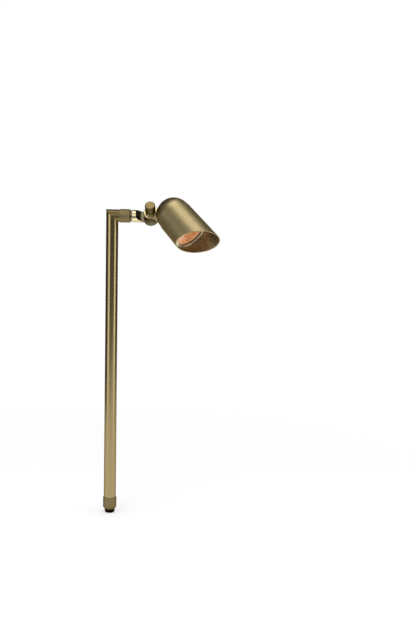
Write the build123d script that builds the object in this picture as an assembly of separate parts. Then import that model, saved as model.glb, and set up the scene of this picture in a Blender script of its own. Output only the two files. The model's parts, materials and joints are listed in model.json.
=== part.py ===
from build123d import *
import math
import os

# A garden spotlight on a bent stem. A male thread at the foot of the stem screws into a
# ground spike or a box. The head hangs from a two-disc knuckle on the end of a short arm.
#
# Frame: millimetres, +Z up. The origin is on the stem's axis, in the seat of the base
# collar, where the male thread leaves it. The arm points along +X.
# Rest pose: the knuckle is swivelled about the arm and the head is tilted down.

# ---- stem and arm --------------------------------------------------------------------
TUBE_OD = 19.05                # three-quarter inch brass tube
TUBE_WALL = 1.65
STEM_LENGTH = 457.2            # eighteen inches, base collar's top to arm's centreline
ARM_LENGTH = 12.3              # stem's axis to the arm collar
BRAZE_GAP = 0.1                # radial gap of a brazed or pressed joint

# ---- collars -------------------------------------------------------------------------
COLLAR_OD = 21.1
BASE_COLLAR_LENGTH = 19.0
BASE_SOCKET_DEPTH = 9.0        # how far the stem enters the base collar
BASE_BEVEL_HEIGHT = 3.0
BASE_BEVEL_WIDTH = 2.2
ARM_COLLAR_LENGTH = 16.1
ARM_SOCKET_DEPTH = 8.0         # how far the arm enters the arm collar
ARM_COLLAR_BEVEL = 0.7

# ---- threads -------------------------------------------------------------------------
THREAD_OD = 16.0               # both the foot's thread and the knuckle's stub
THREAD_GAP = 0.1               # radial gap between a male and a female thread
NIPPLE_REACH = 6.0             # thread below the base collar
NIPPLE_GRIP = 9.0              # plain shank inside the base collar
NIPPLE_SHANK_OD = 14.6
NIPPLE_BORE = 9.5              # cable way
NIPPLE_BEVEL = 0.6

# ---- grub screw of the swivel --------------------------------------------------------
GRUB_OD = 4.0
GRUB_SOCKET = 2.0              # hexagon, across flats
GRUB_SOCKET_DEPTH = 1.2
GRUB_SINK = 0.3                # its outer end below the collar's outside
GRUB_TIP_GAP = 0.15            # tip to the knuckle's stub

# ---- knuckle -------------------------------------------------------------------------
SWIVEL_AT_REST = 41.0          # the knuckle's axis leans this far towards the front
KNUCKLE_REACH = 60.5           # stem's axis to the knuckle's axis
BAR_OD = 19.0
BAR_BEVEL = 0.6
NECK_OD = 16.4
NECK_LENGTH = 2.4              # arm collar to the shoulder of the bar
STUB_END_GAP = 0.4             # stub to the end of the arm tube
DISC_THICKNESS = 11.0          # each of the knuckle's two discs
TONGUE_RADIUS = 10.8
EAR_RADIUS = 11.2
DISC_BEVEL = 1.1
SCOOP_RADIUS = 12.0            # milled hollow that runs up from the tongue's face
SCOOP_START = 11.6             # knuckle's axis to the foot of the scoop
RUNNING_GAP = 0.3              # between curved faces that move past each other
CABLE_WAY = 4.4                # drilled cable way through the knuckle
CABLE_WAY_DEPTH = 5.0          # below the tongue's face, where it turns up
CHAMBER_INNER = 5.6            # ring chamber for the cable, under the ear
CHAMBER_OUTER = 8.2
CHAMBER_DEPTH = 5.0
SEAL_CORD = 1.3                # rubber ring between the two discs
SEAL_RADIUS = 9.4              # to the middle of its cord
SEAL_SINK = 0.05               # its crown below the tongue's face
GROOVE_SIDE_GAP = 0.1          # rubber ring to the walls of its groove

# ---- locking screw -------------------------------------------------------------------
STUD_OD = 8.0
STUD_HOLE_GAP = 0.3            # stud in the ear's plain hole
STUD_GRIP = 8.8                # thread inside the tongue
STUD_HOLE_SPARE = 1.0          # hole past the stud's end
STUD_IN_KNOB = 9.0
WASHER_OD = 15.2
WASHER_THICKNESS = 1.3
WASHER_GAP = 0.05              # free play on each side of the washer
KNOB_OD = 16.2
KNOB_HEIGHT = 16.3
KNOB_TOP_BEVEL = 1.0
KNOB_FOOT_BEVEL = 0.5

# ---- rear cap ------------------------------------------------------------------------
HEAD_TILT = 52.0               # the head's axis below the arm, in the knuckle's plane
HEAD_OFFSET = 9.5              # head's axis above the mating face of the discs
EAR_ANGLE = 48.2               # ear's place on the dome, from its pole
CAP_RADIUS = 27.1
CAP_WALL = 3.2
CAP_SKIRT = 3.9                # straight wall in front of the dome
SPIGOT_WALL = 2.2
SPIGOT_LENGTH = 10.0
EAR_BLEND = 1.6                # fillet between ear and dome
HOOD_SEAL_CORD = 1.8
HOOD_SEAL_PLACE = 5.0          # from the spigot's shoulder

# ---- hood ----------------------------------------------------------------------------
HOOD_RADIUS = 28.0             # at its rear edge
HOOD_FLARE = 1.6               # degrees
HOOD_WALL = 1.6                # of the glare shield
HOOD_FIT = 0.3                 # radial gap round the spigot
SEAM_GAP = 0.3                 # between cap and hood
MOUTH_CENTRE = 66.2            # dome's centre to the cut, along the axis
MOUTH_SLANT = 30.5             # degrees between the cut and a square one
HOOD_TURN = 7.0                # degrees from the knuckle's plane to the shield's tip
RIM_ROUND = 0.45
LEDGE_PLACE = 40.6             # back of the lens ledge, from the dome's centre
LEDGE_THICKNESS = 1.6
LEDGE_LIP = 0.8                # ledge inside the hood's bore

# ---- lens ----------------------------------------------------------------------------
LENS_THICKNESS = 3.0
LENS_FIT = 0.25                # radial gap in the hood
GASKET_THICKNESS = 1.0
RING_THICKNESS = 1.2
RING_WIDTH = 3.2
RING_FIT = 0.15                # radial gap in the hood
RING_BEVEL = 0.35

# ---- lamp and socket -----------------------------------------------------------------
LAMP_EDGE_GAP = 0.3            # two-inch reflector lamp to the ledge's bore
LAMP_FACE_GAP = 0.6            # lamp's face to the lens ledge
LAMP_RIM_HEIGHT = 2.0
LAMP_DEPTH = 28.0              # face to the neck
LAMP_NECK_RADIUS = 9.0
LAMP_WALL = 1.5
LAMP_RIM_STEP = 0.5            # the bowl's outside inside the rim
LAMP_FULLNESS = 0.71           # of the bowl's widening, reached at half its depth
LAMP_BASE_LENGTH = 11.0
LAMP_BASE_WIDTH = 16.5
LAMP_BASE_DEPTH = 10.5
PIN_OD = 1.5
PIN_SPACING = 5.33
PIN_LENGTH = 7.0
PIN_ROOT = 3.5                 # pins inside the lamp's base
PIN_GAP = 0.1
BURNER_RADIUS = 4.0
BURNER_LENGTH = 19.0
BURNER_SEAT = 2.5              # burner inside the neck
SOCKET_FACE_GAP = 1.6          # lamp's base to the socket
SOCKET_LENGTH = 20.0
SOCKET_WIDTH = 12.0
SOCKET_HEIGHT = 13.0
SOCKET_ROUND = 2.0
PLATE_LENGTH = 33.0
PLATE_WIDTH = 12.0
PLATE_THICKNESS = 1.2
PLATE_SCREW_SPREAD = 26.0
PLATE_SCREW_OD = 3.0
PLATE_SCREW_HEAD = 5.0
PLATE_SCREW_HEAD_HEIGHT = 1.6
PLATE_SCREW_LENGTH = 5.0
BOSS_OD = 6.2

# ---- derived places ------------------------------------------------------------------
tube_radius = TUBE_OD / 2
collar_radius = COLLAR_OD / 2
thread_radius = THREAD_OD / 2
thread_hole = thread_radius + THREAD_GAP
shank_radius = NIPPLE_SHANK_OD / 2
socket_radius = tube_radius + BRAZE_GAP
stem_foot = BASE_COLLAR_LENGTH - BASE_SOCKET_DEPTH
arm_height = BASE_COLLAR_LENGTH + STEM_LENGTH
arm_end = ARM_LENGTH + ARM_SOCKET_DEPTH
arm_collar_end = ARM_LENGTH + ARM_COLLAR_LENGTH
corner = Vector(0, 0, arm_height)

# Knuckle's frame: x along the arm, z along the knuckle's axis, origin on the mating face.
knuckle_centre = Vector(KNUCKLE_REACH, 0, arm_height)
lean = math.radians(SWIVEL_AT_REST)
knuckle_axis = Vector(0, -math.sin(lean), math.cos(lean))
knuckle = Plane(origin=knuckle_centre, x_dir=(1, 0, 0), z_dir=knuckle_axis)
seal_floor = -SEAL_CORD - SEAL_SINK
washer_seat = DISC_THICKNESS + WASHER_GAP
washer_top = washer_seat + WASHER_THICKNESS
knob_seat = washer_top + WASHER_GAP
stud_radius = STUD_OD / 2

# Head's frame: z along the head's axis, y along the knuckle's axis, x away from the
# knuckle, origin in the centre of the dome.
tilt = math.radians(HEAD_TILT)
arm_dir = Vector(1, 0, 0)
drop_dir = Vector(0, -math.cos(lean), -math.sin(lean))
head_axis = arm_dir * math.cos(tilt) + drop_dir * math.sin(tilt)
outward_dir = arm_dir * math.sin(tilt) - drop_dir * math.cos(tilt)
ear_reach = math.sqrt(CAP_RADIUS ** 2 - HEAD_OFFSET ** 2) + TONGUE_RADIUS + RUNNING_GAP
ear_x = -ear_reach * math.sin(math.radians(EAR_ANGLE))
ear_z = -ear_reach * math.cos(math.radians(EAR_ANGLE))
dome_centre = knuckle_centre - outward_dir * ear_x - head_axis * ear_z + knuckle_axis * HEAD_OFFSET
head = Plane(origin=dome_centre, x_dir=outward_dir, z_dir=head_axis)

hood_bore = HOOD_RADIUS - HOOD_WALL
spigot_radius = hood_bore - HOOD_FIT
spigot_bore = spigot_radius - SPIGOT_WALL
ledge_radius = hood_bore - LEDGE_LIP
lamp_radius = ledge_radius - LAMP_EDGE_GAP
hood_rear = CAP_SKIRT + SEAM_GAP
flare = math.tan(math.radians(HOOD_FLARE))
slant = math.tan(math.radians(MOUTH_SLANT))
lens_seat = LEDGE_PLACE + LEDGE_THICKNESS
gasket_front = lens_seat + GASKET_THICKNESS
lens_front = gasket_front + LENS_THICKNESS
ring_front = lens_front + RING_THICKNESS

lamp_face = LEDGE_PLACE - LAMP_FACE_GAP
lamp_neck = lamp_face - LAMP_DEPTH
lamp_base_end = lamp_neck - LAMP_BASE_LENGTH
socket_front = lamp_base_end - SOCKET_FACE_GAP
socket_back = socket_front - SOCKET_HEIGHT
plate_back = socket_back - PLATE_THICKNESS

ON_FLOOR = (Align.CENTER, Align.CENTER, Align.MIN)


def disc(radius, low, high):
    """A cylinder about the local z axis, from low to high."""
    return Pos(0, 0, low) * Cylinder(radius, high - low, align=ON_FLOOR)


def ring(outer, inner, low, high):
    """A ring about the local z axis, from low to high."""
    return disc(outer, low, high) - disc(inner, low - 1, high + 1)


def turned(points):
    """A solid turned about the local z axis from its (radius, height) corners."""
    corners = [(radius, 0, height) for radius, height in points]
    return revolve(make_face(Polyline(*corners, close=True)), Axis.Z)


def torus(radius, cord, height):
    """A round rubber ring about the local z axis."""
    return Pos(0, 0, height) * Torus(radius, cord / 2)


def along_arm(shape):
    """Turns a shape made about +Z so that it lies on the arm's axis, z from the stem."""
    return Plane(origin=corner, x_dir=(0, 1, 0), z_dir=(1, 0, 0)) * shape


def in_knuckle(shape):
    return knuckle * shape


def in_head(shape):
    return head * shape


# ---- stem and arm --------------------------------------------------------------------
def mitre_side(sign):
    """A large block on one side of the plane that halves the corner."""
    size = 4 * (TUBE_OD + ARM_LENGTH + ARM_SOCKET_DEPTH)
    normal = Vector(sign, 0, sign)
    block = Box(size, size, size, align=ON_FLOOR)
    return Plane(origin=corner, x_dir=(0, 1, 0), z_dir=normal) * block


def make_stem_tube():
    top = arm_height + TUBE_OD
    return ring(tube_radius, tube_radius - TUBE_WALL, stem_foot, top) - mitre_side(1)


def make_arm_tube():
    tube = along_arm(ring(tube_radius, tube_radius - TUBE_WALL, -TUBE_OD, arm_end))
    return tube - mitre_side(-1)


def make_base_collar():
    outline = [
        (shank_radius + BRAZE_GAP, 0),
        (collar_radius - BASE_BEVEL_WIDTH, 0),
        (collar_radius, BASE_BEVEL_HEIGHT),
        (collar_radius, BASE_COLLAR_LENGTH),
        (socket_radius, BASE_COLLAR_LENGTH),
        (socket_radius, stem_foot),
        (shank_radius + BRAZE_GAP, stem_foot),
    ]
    return turned(outline)


def make_base_nipple():
    outline = [
        (NIPPLE_BORE / 2, -NIPPLE_REACH),
        (thread_radius - NIPPLE_BEVEL, -NIPPLE_REACH),
        (thread_radius, NIPPLE_BEVEL - NIPPLE_REACH),
        (thread_radius, 0),
        (shank_radius, 0),
        (shank_radius, NIPPLE_GRIP),
        (NIPPLE_BORE / 2, NIPPLE_GRIP),
    ]
    return turned(outline)


# The grub screw stands half way along the threaded part of the arm collar.
grub_place = (arm_end + arm_collar_end) / 2
grub_tip = thread_radius + GRUB_TIP_GAP
grub_axis = Plane(origin=(grub_place, 0, arm_height), x_dir=(1, 0, 0), z_dir=(0, 1, 0))


def make_arm_collar():
    outline = [
        (socket_radius, ARM_LENGTH),
        (collar_radius, ARM_LENGTH),
        (collar_radius, arm_collar_end - ARM_COLLAR_BEVEL),
        (collar_radius - ARM_COLLAR_BEVEL, arm_collar_end),
        (thread_hole, arm_collar_end),
        (thread_hole, arm_end),
        (socket_radius, arm_end),
    ]
    grub_hole = grub_axis * disc(GRUB_OD / 2 + BRAZE_GAP, 0, COLLAR_OD)
    return along_arm(turned(outline)) - grub_hole


def make_swivel_screw():
    top = collar_radius - GRUB_SINK
    screw = disc(GRUB_OD / 2, grub_tip, top)
    hexagon = extrude(RegularPolygon(GRUB_SOCKET / 2, 6, major_radius=False), GRUB_SOCKET_DEPTH)
    return grub_axis * (screw - Pos(0, 0, top - GRUB_SOCKET_DEPTH) * hexagon)


# ---- knuckle -------------------------------------------------------------------------
bar_start = arm_collar_end + NECK_LENGTH - KNUCKLE_REACH
stub_start = arm_end + STUB_END_GAP - KNUCKLE_REACH
collar_face = arm_collar_end - KNUCKLE_REACH
cable_turn = (CHAMBER_INNER + CHAMBER_OUTER) / 2
cable_riser = (CHAMBER_OUTER - CHAMBER_INNER) / 2


def make_knuckle_bar():
    """Stub, neck and bar, turned about the arm's axis."""
    outline = [
        (0, stub_start),
        (thread_radius - NIPPLE_BEVEL, stub_start),
        (thread_radius, stub_start + NIPPLE_BEVEL),
        (thread_radius, collar_face),
        (NECK_OD / 2, collar_face + RUNNING_GAP),
        (NECK_OD / 2, bar_start),
        (BAR_OD / 2 - BAR_BEVEL, bar_start),
        (BAR_OD / 2, bar_start + BAR_BEVEL),
        (BAR_OD / 2, 0),
        (0, 0),
    ]
    return Plane(origin=(0, 0, 0), x_dir=(0, 1, 0), z_dir=(1, 0, 0)) * turned(outline)


def make_scoop():
    """All that is milled away above the tongue's face, with its concave run-out."""
    room = 2 * BAR_OD
    cutter = Cylinder(SCOOP_RADIUS, room, rotation=(90, 0, 0))
    hollow = Pos(-SCOOP_START, 0, SCOOP_RADIUS) * cutter
    above = Pos(-SCOOP_START, 0, 0) * Box(room, room, room, align=(Align.MIN, Align.CENTER, Align.MIN))
    return hollow + above


def make_cable_way():
    """A slanted hole from the stub's end that turns up through the tongue's face."""
    foot = Vector(stub_start - 1, 0, 0)
    turn = Vector(-cable_turn, 0, -CABLE_WAY_DEPTH)
    run = turn - foot
    slanted = Plane(origin=foot, x_dir=(0, 1, 0), z_dir=run) * disc(CABLE_WAY / 2, 0, run.length)
    riser = Pos(-cable_turn, 0, 0) * disc(cable_riser, -CABLE_WAY_DEPTH, 1)
    return slanted + riser


def make_knuckle_stem():
    tongue = disc(TONGUE_RADIUS, -DISC_THICKNESS, 0)
    tongue = chamfer(tongue.edges().group_by(Axis.Z)[0], DISC_BEVEL)
    stud_hole = disc(stud_radius + THREAD_GAP, -STUD_GRIP - STUD_HOLE_SPARE, 1)
    groove_outer = SEAL_RADIUS + SEAL_CORD / 2 + GROOVE_SIDE_GAP
    groove_inner = SEAL_RADIUS - SEAL_CORD / 2 - GROOVE_SIDE_GAP
    groove = ring(groove_outer, groove_inner, seal_floor, 1)
    shape = (make_knuckle_bar() - make_scoop()) + tongue
    return in_knuckle(shape - stud_hole - groove - make_cable_way())


def make_knuckle_seal():
    return in_knuckle(torus(SEAL_RADIUS, SEAL_CORD, seal_floor + SEAL_CORD / 2))


def make_lock_washer():
    return in_knuckle(ring(WASHER_OD / 2, stud_radius + STUD_HOLE_GAP, washer_seat, washer_top))


def make_lock_knob():
    knob = disc(KNOB_OD / 2, knob_seat, knob_seat + KNOB_HEIGHT)
    knob = chamfer(knob.edges().group_by(Axis.Z)[-1], KNOB_TOP_BEVEL)
    knob = chamfer(knob.edges().group_by(Axis.Z)[0], KNOB_FOOT_BEVEL)
    return in_knuckle(knob - disc(stud_radius + BRAZE_GAP, 0, knob_seat + STUD_IN_KNOB))


def make_lock_stud():
    return in_knuckle(disc(stud_radius, -STUD_GRIP, knob_seat + STUD_IN_KNOB))


# ---- rear cap ------------------------------------------------------------------------
cap_bore = CAP_RADIUS - CAP_WALL
spigot_end = CAP_SKIRT + SPIGOT_LENGTH
hood_seal_radius = spigot_radius - HOOD_SEAL_CORD / 2 + HOOD_FIT / 2
hood_seal_place = CAP_SKIRT + HOOD_SEAL_PLACE
plate_screw_x = PLATE_SCREW_SPREAD / 2
plate_screw_hole = PLATE_SCREW_OD / 2 + BRAZE_GAP

# The ear's own frame inside the head: z along the knuckle's axis, x towards the dome.
ear = Plane(origin=(ear_x, -HEAD_OFFSET, ear_z), x_dir=(-ear_x, 0, -ear_z), z_dir=(0, 1, 0))


def make_dome(radius):
    """A half ball with a straight skirt that ends at the hood."""
    half = Sphere(radius) - disc(2 * radius, 0, 2 * radius)
    return half + disc(radius, 0, CAP_SKIRT)


def make_ear():
    """The upper disc and its neck, which runs into the dome."""
    outline = Circle(EAR_RADIUS) + Pos(ear_reach / 2, 0) * Rectangle(ear_reach, 2 * EAR_RADIUS)
    slab = extrude(outline, DISC_THICKNESS)
    return ear * chamfer(slab.edges().group_by(Axis.Z)[-1], DISC_BEVEL)


def blend_ear(dome, arm):
    """Joins ear and dome and rounds their inner corner, except beside the tongue."""
    shape = dome + arm
    seam = [
        edge
        for edge in shape.edges()
        if abs((edge @ 0.5).length - CAP_RADIUS) < 0.01
        and Vertex(edge @ 0.5).distance_to(arm) < 0.01
        and (edge @ 0.5).Y > 1 - HEAD_OFFSET
    ]
    return fillet(seam, EAR_BLEND)


def make_rear_cap():
    shape = blend_ear(make_dome(CAP_RADIUS), make_ear())
    shape += disc(spigot_radius, 0, spigot_end)
    cavity = Sphere(cap_bore) - disc(2 * cap_bore, 0, 2 * cap_bore)
    cavity += disc(spigot_bore, 0, spigot_end + 1)
    groove_floor = hood_seal_radius - HOOD_SEAL_CORD / 2
    groove_half = HOOD_SEAL_CORD / 2 + GROOVE_SIDE_GAP
    groove = ring(hood_bore, groove_floor, -groove_half, groove_half)
    shape = shape - cavity - Pos(0, 0, hood_seal_place) * groove
    bosses = [
        Pos(side * plate_screw_x, 0, 0) * disc(BOSS_OD / 2, -CAP_RADIUS, plate_back)
        for side in (-1, 1)
    ]
    ball = Sphere((CAP_RADIUS + cap_bore) / 2)
    for boss in bosses:
        shape += boss & ball
    screw_hole = disc(plate_screw_hole, plate_back - PLATE_SCREW_LENGTH, plate_back + 1)
    for side in (-1, 1):
        shape -= Pos(side * plate_screw_x, 0, 0) * screw_hole
    stud_hole = disc(stud_radius + STUD_HOLE_GAP, -1, DISC_THICKNESS + 1)
    chamber = ring(CHAMBER_OUTER, CHAMBER_INNER, -1, CHAMBER_DEPTH)
    way_start = Plane(origin=(cable_turn, 0, CHAMBER_DEPTH / 2), z_dir=(1, 0, 0))
    way = way_start * disc(cable_riser, 0, ear_reach - cap_bore)
    return in_head(shape - ear * (stud_hole + chamber + way))


def make_hood_seal():
    return in_head(torus(hood_seal_radius, HOOD_SEAL_CORD, hood_seal_place))


# ---- hood and lens -------------------------------------------------------------------
hood_tip = MOUTH_CENTRE + 2 * slant * HOOD_RADIUS


def hood_outer(place):
    """The hood's outer radius at a place along the head's axis."""
    return HOOD_RADIUS + (place - hood_rear) * flare


def hood_inner(place):
    """The radius inside the glare shield at a place along the head's axis."""
    return hood_outer(place) - HOOD_WALL


def make_hood():
    outline = [
        (hood_bore, hood_rear),
        (hood_outer(hood_rear), hood_rear),
        (hood_outer(hood_tip), hood_tip),
        (hood_inner(hood_tip), hood_tip),
        (hood_inner(lens_seat), lens_seat),
        (ledge_radius, lens_seat),
        (ledge_radius, LEDGE_PLACE),
        (hood_bore, LEDGE_PLACE),
    ]
    size = 6 * HOOD_RADIUS
    turn = math.radians(HOOD_TURN)
    sideways = (-math.sin(turn), math.cos(turn), 0)
    out = (-slant * math.cos(turn), -slant * math.sin(turn), 1)
    cut = Plane(origin=(0, 0, MOUTH_CENTRE), x_dir=sideways, z_dir=out)
    shape = turned(outline) - cut * Box(size, size, size, align=ON_FLOOR)
    rim = [face for face in shape.faces() if abs(face.normal_at().dot(cut.z_dir)) > 0.999][0]
    return in_head(fillet(rim.edges(), RIM_ROUND))


lens_radius = hood_inner(lens_seat) - LENS_FIT
ring_radius = hood_inner(lens_front) - RING_FIT


def make_lens_gasket():
    return in_head(ring(lens_radius, ledge_radius, lens_seat, gasket_front))


def make_lens():
    return in_head(disc(lens_radius, gasket_front, lens_front))


def make_lens_ring():
    outline = [
        (ring_radius - RING_WIDTH, lens_front),
        (ring_radius, lens_front),
        (ring_radius, ring_front - RING_BEVEL),
        (ring_radius - RING_BEVEL, ring_front),
        (ring_radius - RING_WIDTH + RING_BEVEL, ring_front),
        (ring_radius - RING_WIDTH, ring_front - RING_BEVEL),
    ]
    return in_head(turned(outline))


# ---- lamp and socket -----------------------------------------------------------------
def bowl(rim_radius, neck_radius, rim, neck):
    """A solid bowl that widens steadily less from its neck to its rim."""
    middle = neck_radius + LAMP_FULLNESS * (rim_radius - neck_radius)
    points = [(neck_radius, 0, neck), (middle, 0, (rim + neck) / 2), (rim_radius, 0, rim)]
    curve = ThreePointArc(*points)
    sides = Polyline((rim_radius, 0, rim), (0, 0, rim), (0, 0, neck), (neck_radius, 0, neck))
    return revolve(make_face(curve + sides), Axis.Z)


def make_lamp_reflector():
    rim_back = lamp_face - LAMP_RIM_HEIGHT
    outer = bowl(lamp_radius - LAMP_RIM_STEP, LAMP_NECK_RADIUS, rim_back, lamp_neck)
    outer += disc(lamp_radius, rim_back, lamp_face)
    inner_rim = lamp_radius - LAMP_WALL
    inner = bowl(inner_rim, LAMP_NECK_RADIUS - LAMP_WALL, rim_back, lamp_neck + LAMP_WALL)
    inner += disc(inner_rim, rim_back, lamp_face + 1)
    throat = disc(BURNER_RADIUS + RUNNING_GAP, lamp_neck - 1, lamp_face)
    return in_head(outer - inner - throat)


def make_lamp_burner():
    foot = lamp_neck - BURNER_SEAT
    top = foot + BURNER_SEAT + BURNER_LENGTH
    straight = disc(BURNER_RADIUS, foot, top - BURNER_RADIUS)
    return in_head(straight + Pos(0, 0, top - BURNER_RADIUS) * Sphere(BURNER_RADIUS))


def make_lamp_base():
    foot = disc(LAMP_BASE_WIDTH / 2, lamp_base_end, lamp_neck)
    flats = Box(LAMP_BASE_WIDTH, LAMP_BASE_DEPTH, LAMP_BASE_LENGTH, align=ON_FLOOR)
    foot = foot & (Pos(0, 0, lamp_base_end) * flats)
    well = disc(BURNER_RADIUS + RUNNING_GAP, lamp_neck - BURNER_SEAT, lamp_neck + 1)
    pin_hole = disc(PIN_OD / 2 + PIN_GAP, lamp_base_end - 1, lamp_base_end + PIN_ROOT)
    for side in (-1, 1):
        foot -= Pos(side * PIN_SPACING / 2, 0, 0) * pin_hole
    return in_head(foot - well)


def make_lamp_pins():
    low = lamp_base_end - PIN_LENGTH
    pin = disc(PIN_OD / 2, low, lamp_base_end + PIN_ROOT)
    pins = [Pos(side * PIN_SPACING / 2, 0, 0) * pin for side in (-1, 1)]
    return in_head(Compound(children=pins))


def make_lamp_socket():
    outline = RectangleRounded(SOCKET_LENGTH, SOCKET_WIDTH, SOCKET_ROUND)
    body = Pos(0, 0, socket_back) * extrude(outline, SOCKET_HEIGHT)
    low = lamp_base_end - PIN_LENGTH - PIN_GAP
    pin_hole = disc(PIN_OD / 2 + PIN_GAP, low, socket_front + 1)
    for side in (-1, 1):
        body -= Pos(side * PIN_SPACING / 2, 0, 0) * pin_hole
    return in_head(body)


def make_socket_plate():
    outline = RectangleRounded(PLATE_LENGTH, PLATE_WIDTH, SOCKET_ROUND)
    plate = Pos(0, 0, plate_back) * extrude(outline, PLATE_THICKNESS)
    screw_hole = disc(plate_screw_hole, plate_back - 1, socket_back + 1)
    for side in (-1, 1):
        plate -= Pos(side * plate_screw_x, 0, 0) * screw_hole
    return in_head(plate)


def make_socket_screws():
    shank = disc(PLATE_SCREW_OD / 2, plate_back - PLATE_SCREW_LENGTH, socket_back)
    cap = disc(PLATE_SCREW_HEAD / 2, socket_back, socket_back + PLATE_SCREW_HEAD_HEIGHT)
    screws = [Pos(side * plate_screw_x, 0, 0) * (shank + cap) for side in (-1, 1)]
    return in_head(Compound(children=screws))


PIECES = {
    "stem_tube": make_stem_tube,
    "arm_tube": make_arm_tube,
    "base_collar": make_base_collar,
    "base_nipple": make_base_nipple,
    "arm_collar": make_arm_collar,
    "swivel_screw": make_swivel_screw,
    "knuckle_stem": make_knuckle_stem,
    "knuckle_seal": make_knuckle_seal,
    "lock_washer": make_lock_washer,
    "lock_knob": make_lock_knob,
    "lock_stud": make_lock_stud,
    "rear_cap": make_rear_cap,
    "hood_seal": make_hood_seal,
    "hood": make_hood,
    "lens_gasket": make_lens_gasket,
    "lens": make_lens,
    "lens_ring": make_lens_ring,
    "lamp_reflector": make_lamp_reflector,
    "lamp_burner": make_lamp_burner,
    "lamp_base": make_lamp_base,
    "lamp_pins": make_lamp_pins,
    "lamp_socket": make_lamp_socket,
    "socket_plate": make_socket_plate,
    "socket_screws": make_socket_screws,
}

os.makedirs("parts", exist_ok=True)
for name, make in PIECES.items():
    export_step(make(), f"parts/{name}.step")
print("knuckle axis passes", knuckle_centre, "along", knuckle_axis)
print("head axis passes", dome_centre, "along", head_axis)
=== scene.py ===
# %% [markdown]
# # A brass garden spotlight on a bent stem
# The construction model is the frame: every tube, disc and shell of it has its real size and
# place. This notebook dresses it. Each step says what a piece is on the real lamp, how it could
# be made, and why it is made this way. Everything is in metres.

# %% Load the frame
import json
import math

import bmesh
import bpy
from mathutils import Matrix, Vector


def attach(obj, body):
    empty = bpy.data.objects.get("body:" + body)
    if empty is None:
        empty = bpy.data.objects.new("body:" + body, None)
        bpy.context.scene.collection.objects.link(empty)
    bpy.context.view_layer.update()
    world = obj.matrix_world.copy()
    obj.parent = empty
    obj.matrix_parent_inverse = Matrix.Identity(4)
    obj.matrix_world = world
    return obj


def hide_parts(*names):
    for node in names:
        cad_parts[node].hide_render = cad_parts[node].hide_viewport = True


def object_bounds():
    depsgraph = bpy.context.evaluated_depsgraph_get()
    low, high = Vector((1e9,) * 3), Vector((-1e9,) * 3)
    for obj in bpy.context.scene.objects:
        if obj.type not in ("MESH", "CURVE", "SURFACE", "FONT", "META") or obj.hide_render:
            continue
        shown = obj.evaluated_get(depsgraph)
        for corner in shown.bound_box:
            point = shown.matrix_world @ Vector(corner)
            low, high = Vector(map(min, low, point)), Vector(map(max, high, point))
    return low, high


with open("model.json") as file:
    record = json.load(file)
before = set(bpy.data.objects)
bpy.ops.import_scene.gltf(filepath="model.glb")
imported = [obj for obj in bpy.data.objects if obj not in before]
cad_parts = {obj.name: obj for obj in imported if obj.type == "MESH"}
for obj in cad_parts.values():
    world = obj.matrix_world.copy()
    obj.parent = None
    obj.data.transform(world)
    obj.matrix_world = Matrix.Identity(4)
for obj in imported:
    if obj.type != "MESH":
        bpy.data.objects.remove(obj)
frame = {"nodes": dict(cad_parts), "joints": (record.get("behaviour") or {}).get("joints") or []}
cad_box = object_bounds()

MM = 0.001
nodes = frame["nodes"]
joints = {joint["name"]: joint for joint in frame["joints"]}

# %% [markdown]
# The knuckle and the head each have an axis of their own, and most of their parts are turned
# about it. The joints of the record give both axes, so nothing is measured twice. A matrix for
# each lets a part be made about the plain z axis and then put in its place.

# %% The axes of the knuckle and of the head
corner = Vector(joints["arm_swivel"]["pos_m"])
knuckle_point = Vector(joints["head_tilt"]["pos_m"])
knuckle_axis = Vector(joints["head_tilt"]["axis"]).normalized()
dome_centre = Vector(joints["hood_turn"]["pos_m"])
head_axis = Vector(joints["hood_turn"]["axis"]).normalized()
tip_direction = knuckle_axis.cross(head_axis).normalized()


def frame_of(x_axis, z_axis, origin):
    """A matrix whose z is z_axis and whose x is x_axis."""
    turn = Matrix((x_axis, z_axis.cross(x_axis), z_axis)).transposed().to_4x4()
    return Matrix.Translation(origin) @ turn


HEAD = frame_of(tip_direction, head_axis, dome_centre)
KNUCKLE = frame_of(Vector((1, 0, 0)), knuckle_axis, knuckle_point)
ARM = frame_of(Vector((0, 0, -1)), Vector((1, 0, 0)), corner)
STEM = Matrix.Identity(4)
print("head axis", tuple(round(v, 3) for v in head_axis))

# %% [markdown]
# ## Helpers
# Both kinds of node tree, for geometry and for shading, are written as plain code. One helper
# adds a node and fills its sockets, with a number or with a link, and one does arithmetic.

# %% Node helpers
def add(tree, kind, values=None, **settings):
    """Adds a node. A value that is a socket is linked, any other is set."""
    node = tree.nodes.new(kind)
    for key, value in settings.items():
        setattr(node, key, value)
    for key, value in (values or {}).items():
        if isinstance(value, bpy.types.NodeSocket):
            tree.links.new(value, node.inputs[key])
        else:
            node.inputs[key].default_value = value
    return node


def calc(tree, operation, *values):
    """One step of arithmetic on numbers or sockets."""
    node = add(tree, "ShaderNodeMath", dict(enumerate(values)), operation=operation)
    return node.outputs[0]


def vector_calc(tree, operation, first, second):
    """One step of arithmetic on vectors."""
    node = add(tree, "ShaderNodeVectorMath", {0: first, 1: second}, operation=operation)
    return node.outputs[0]


def new_group(name, kind, inputs, outputs):
    """A node tree with named sockets: inputs are (name, type, default)."""
    tree = bpy.data.node_groups.new(name, kind)
    for label, socket_type, default in inputs:
        socket = tree.interface.new_socket(label, in_out="INPUT", socket_type=socket_type)
        if default is not None:
            socket.default_value = default
    for label, socket_type in outputs:
        tree.interface.new_socket(label, in_out="OUTPUT", socket_type=socket_type)
    start = tree.nodes.new("NodeGroupInput")
    end = tree.nodes.new("NodeGroupOutput")
    return tree, start.outputs, end.inputs


FLOAT, VECTOR, COLOR = "NodeSocketFloat", "NodeSocketVector", "NodeSocketColor"
GEOMETRY, MATERIAL, INTEGER = "NodeSocketGeometry", "NodeSocketMaterial", "NodeSocketInt"

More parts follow.
